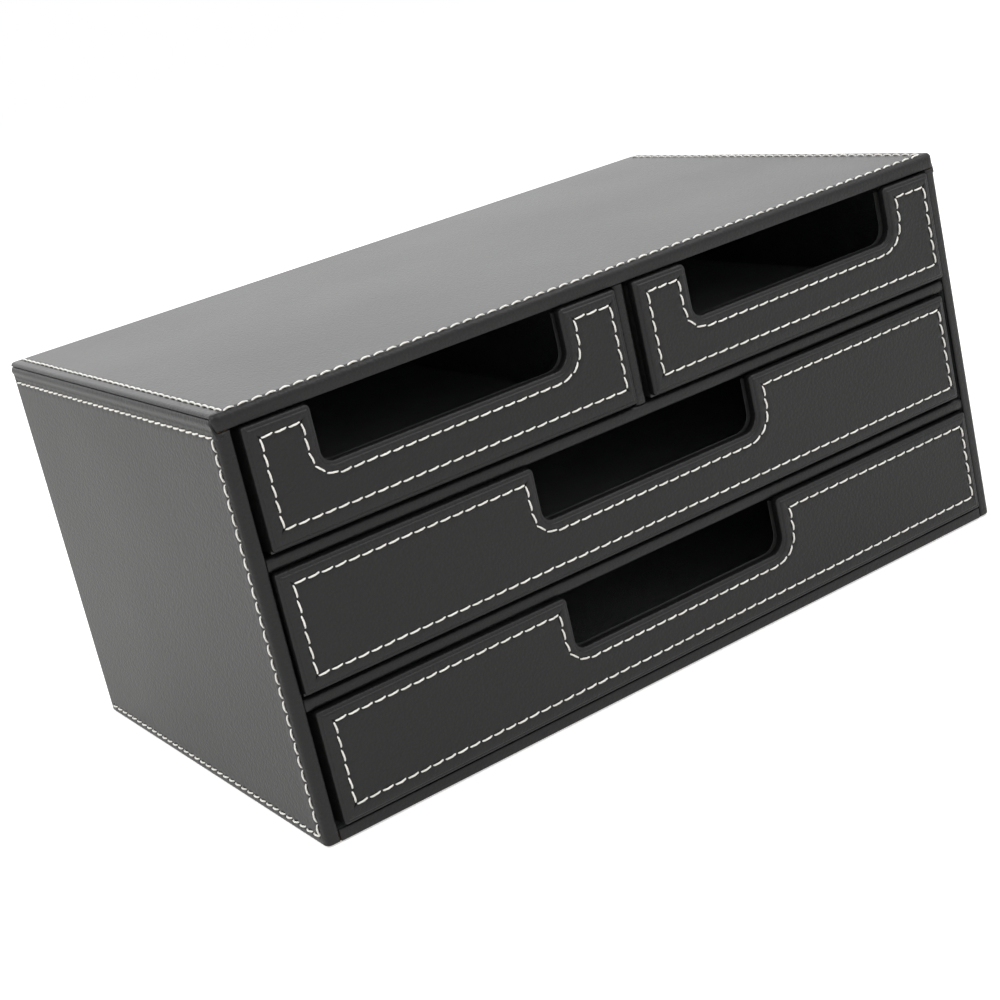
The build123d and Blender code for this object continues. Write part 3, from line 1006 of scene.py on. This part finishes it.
def studio_floor():
    """A plain white floor that is pure white to the eye and keeps the chest's soft shadow."""
    size = 3.0
    mesh = bpy.data.meshes.new("studio_floor")
    mesh.from_pydata([(-size, -size, 0), (size, -size, 0), (size, size, 0), (-size, size, 0)],
                     [], [(0, 1, 2, 3)])
    floor = bpy.data.objects.new("studio_floor", mesh)
    bpy.context.scene.collection.objects.link(floor)
    material, tree, output, place = new_material("white_paper_sweep")
    tooth = node(tree, "ShaderNodeTexNoise", {"Vector": place, "Scale": 1000 / 2.0, "Detail": 2.0})
    colour = ramp(tree, tooth.outputs["Fac"], [(0.0, srgb("#eceae7")), (1.0, srgb("#f2f1ee"))])
    paper = node(tree, "ShaderNodeBsdfDiffuse", {"Color": colour})
    # The glow tops the lit paper up to white for the camera, and brightens it in reflections.
    path = node(tree, "ShaderNodeLightPath")
    glow = node(tree, "ShaderNodeEmission", {"Color": srgb("#ffffff")})
    seen = node(tree, "ShaderNodeMath", {0: path.outputs["Is Camera Ray"], 1: 0.52},
                operation="MULTIPLY")
    mirrored = node(tree, "ShaderNodeMath", {0: path.outputs["Is Glossy Ray"], 1: 0.6},
                    operation="MULTIPLY")
    glow_level = node(tree, "ShaderNodeMath", {0: seen.outputs[0], 1: mirrored.outputs[0]},
                      operation="ADD")
    tree.links.new(glow_level.outputs[0], glow.inputs["Strength"])
    both = node(tree, "ShaderNodeAddShader", {0: paper.outputs[0], 1: glow.outputs[0]})
    tree.links.new(both.outputs[0], output.inputs["Surface"])
    mesh.materials.append(material)


def studio_world():
    """An even pale surround, white where the camera or a reflection looks into it."""
    world = bpy.data.worlds.new("studio")
    bpy.context.scene.world = world
    world.use_nodes = True
    tree = world.node_tree
    tree.nodes.clear()
    output = node(tree, "ShaderNodeOutputWorld")
    path = node(tree, "ShaderNodeLightPath")
    looked_at = node(tree, "ShaderNodeMath",
                     {0: path.outputs["Is Camera Ray"], 1: path.outputs["Is Glossy Ray"]},
                     operation="MAXIMUM")
    light = node(tree, "ShaderNodeBackground", {"Color": srgb("#f4f6f8"), "Strength": 0.62})
    seen = node(tree, "ShaderNodeBackground", {"Color": srgb("#ffffff"), "Strength": 1.0})
    mixed = node(tree, "ShaderNodeMixShader",
                 {0: looked_at.outputs[0], 1: light.outputs[0], 2: seen.outputs[0]})
    tree.links.new(mixed.outputs[0], output.inputs["Surface"])


def soft_box(name, place, target, size, power):
    """A large soft light that faces a point."""
    data = bpy.data.lights.new(name, "AREA")
    data.shape = "RECTANGLE"
    data.size, data.size_y = size
    data.energy = power
    lamp = bpy.data.objects.new(name, data)
    bpy.context.scene.collection.objects.link(lamp)
    lamp.location = place
    way = Vector(target) - Vector(place)
    lamp.rotation_euler = way.to_track_quat("-Z", "Y").to_euler()


def photo_camera():
    """The photograph's viewing angle: from the left front and above, with the picture tilted."""
    data = bpy.data.cameras.new("camera")
    camera = bpy.data.objects.new("camera", data)
    bpy.context.scene.collection.objects.link(camera)
    right = Vector((0.81676, -0.53386, -0.21885))
    up = Vector((0.32179, 0.10666, 0.94078))
    back = Vector((-0.47890, -0.83882, 0.25890))
    turn = Matrix((right, up, back)).transposed().to_4x4()
    camera.matrix_world = Matrix.Translation((-0.29731, -0.50424, 0.23137)) @ turn
    data.sensor_fit = "HORIZONTAL"
    data.sensor_width = 36.0
    data.lens = 68.065
    data.shift_x = 0.02425
    data.shift_y = -0.0938
    data.clip_start = 0.01
    data.clip_end = 20.0
    bpy.context.scene.camera = camera


top_sheet()
side_sheet("left", -1)
side_sheet("right", 1)
back_panel()
base_edge()
shelves_and_divider()
casing_linings()
felt_foot()
for drawer_name in DRAWERS:
    drawer_front(drawer_name)
    tray_lining(drawer_name)
finish_solids()
studio_floor()
studio_world()
soft_box("back_light", (0.3, 1.1, 0.6), (0.15, 0.0, 0.08), (2.0, 1.0), 9.8)
soft_box("left_light", (-0.8, -0.2, 0.9), (-0.35, 0.0, 0.0), (0.7, 0.7), 6.5)
soft_box("front_top_light", (0.5, -0.35, 1.1), (0.0, 0.0, 0.08), (0.6, 0.5), 4.0)
soft_box("front_right_light", (0.6, -0.75, 0.75), (0.0, 0.0, 0.08), (1.0, 0.8), 2.0)
photo_camera()
bpy.context.scene.view_settings.view_transform = "Standard"
